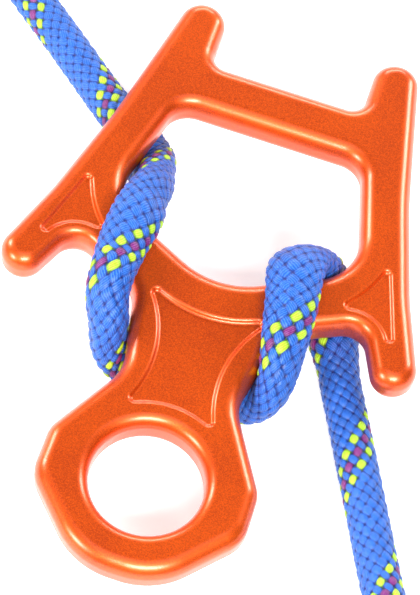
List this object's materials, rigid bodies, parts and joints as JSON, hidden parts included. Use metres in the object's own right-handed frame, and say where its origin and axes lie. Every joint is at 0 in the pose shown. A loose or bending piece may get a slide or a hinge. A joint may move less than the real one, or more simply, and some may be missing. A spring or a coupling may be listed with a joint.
{
  "type": "rescue figure-eight descender",
  "caption": "Forged figure-eight descender plate with ears, rope window and carabiner eye, threaded on a kernmantle rope with a sewn anchor eye.",
  "frame": {"origin": "centre of the carabiner eye, halfway through the plate's thickness", "axes": "+Y along the plate's long middle line from the carabiner eye to the top bar, +Z square to the plate out of its front face, the one the two short strands of the rope cross, +X to the plate's right seen from the front"},
  "size_m": [0.2503, 0.2548, 0.0327],
  "materials": {
    "anodised_body": "fine blasted and anodised, satin",
    "rope_sheath": "braided polyamide sheath, blue with lime and violet tracer yarns",
    "thimble": "satin stainless steel",
    "thread": "bonded sewing thread",
    "sleeve": "shrunk plastic sleeve, matte",
    "melted_ends": "melted polyamide"
  },
  "bodies": {
    "root": {"descender_body": "anodised_body", "rope": "rope_sheath", "eye_thimble": "thimble", "eye_stitching": "thread", "eye_sleeve": "sleeve", "end_sleeve": "sleeve", "end_tip": "melted_ends", "tail_tip": "melted_ends"}
  },
  "joints": []
}
